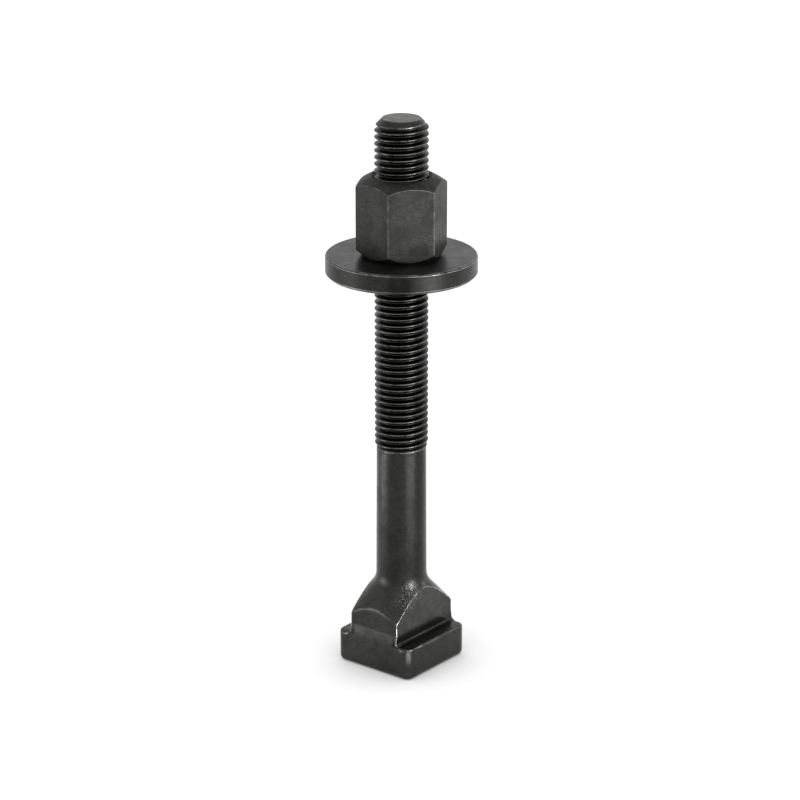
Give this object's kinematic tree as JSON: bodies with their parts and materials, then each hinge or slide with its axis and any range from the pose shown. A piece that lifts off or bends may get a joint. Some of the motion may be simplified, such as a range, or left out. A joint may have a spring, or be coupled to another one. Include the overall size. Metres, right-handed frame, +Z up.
{
  "type": "t slot bolt",
  "caption": "Forged steel T slot bolt with a square head, a flared neck with milled flats and a long threaded shank, carrying a tall hex nut on a thick flat washer.",
  "frame": {"origin": "centre of the T head's underside, which is the face that the bolt stands on", "axes": "+Z runs up the bolt's axis to its threaded end; the T slot runs along Y, so the neck's milled flats face +X and -X"},
  "size_m": [0.045, 0.045, 0.17],
  "materials": {
    "bolt_steel": "forged steel, black oxide, satin with lightly worn edges",
    "nut_steel": "machined steel, black oxide, mottled satin with bright worn edges",
    "washer_steel": "turned steel, black oxide, smooth satin"
  },
  "bodies": {
    "bolt": {"t_slot_bolt": "bolt_steel"},
    "washer": {"flat_washer": "washer_steel"},
    "nut": {"hex_nut": "nut_steel"}
  },
  "joints": [
    {"name": "washer_slide", "type": "slide", "parent": "bolt", "child": "washer", "axis": [0, 0, 1], "range_m": [-0.059, 0.017]},
    {"name": "nut_turn", "type": "hinge", "parent": "washer", "child": "nut", "pos_m": [0, 0, 0.129], "axis": [0, 0, 1], "range_deg": [-10620, 3060]}
  ],
  "couplings": [
    {"joint": "washer_slide", "follows": "nut_turn", "m_per_rad": 0.00031831}
  ]
}
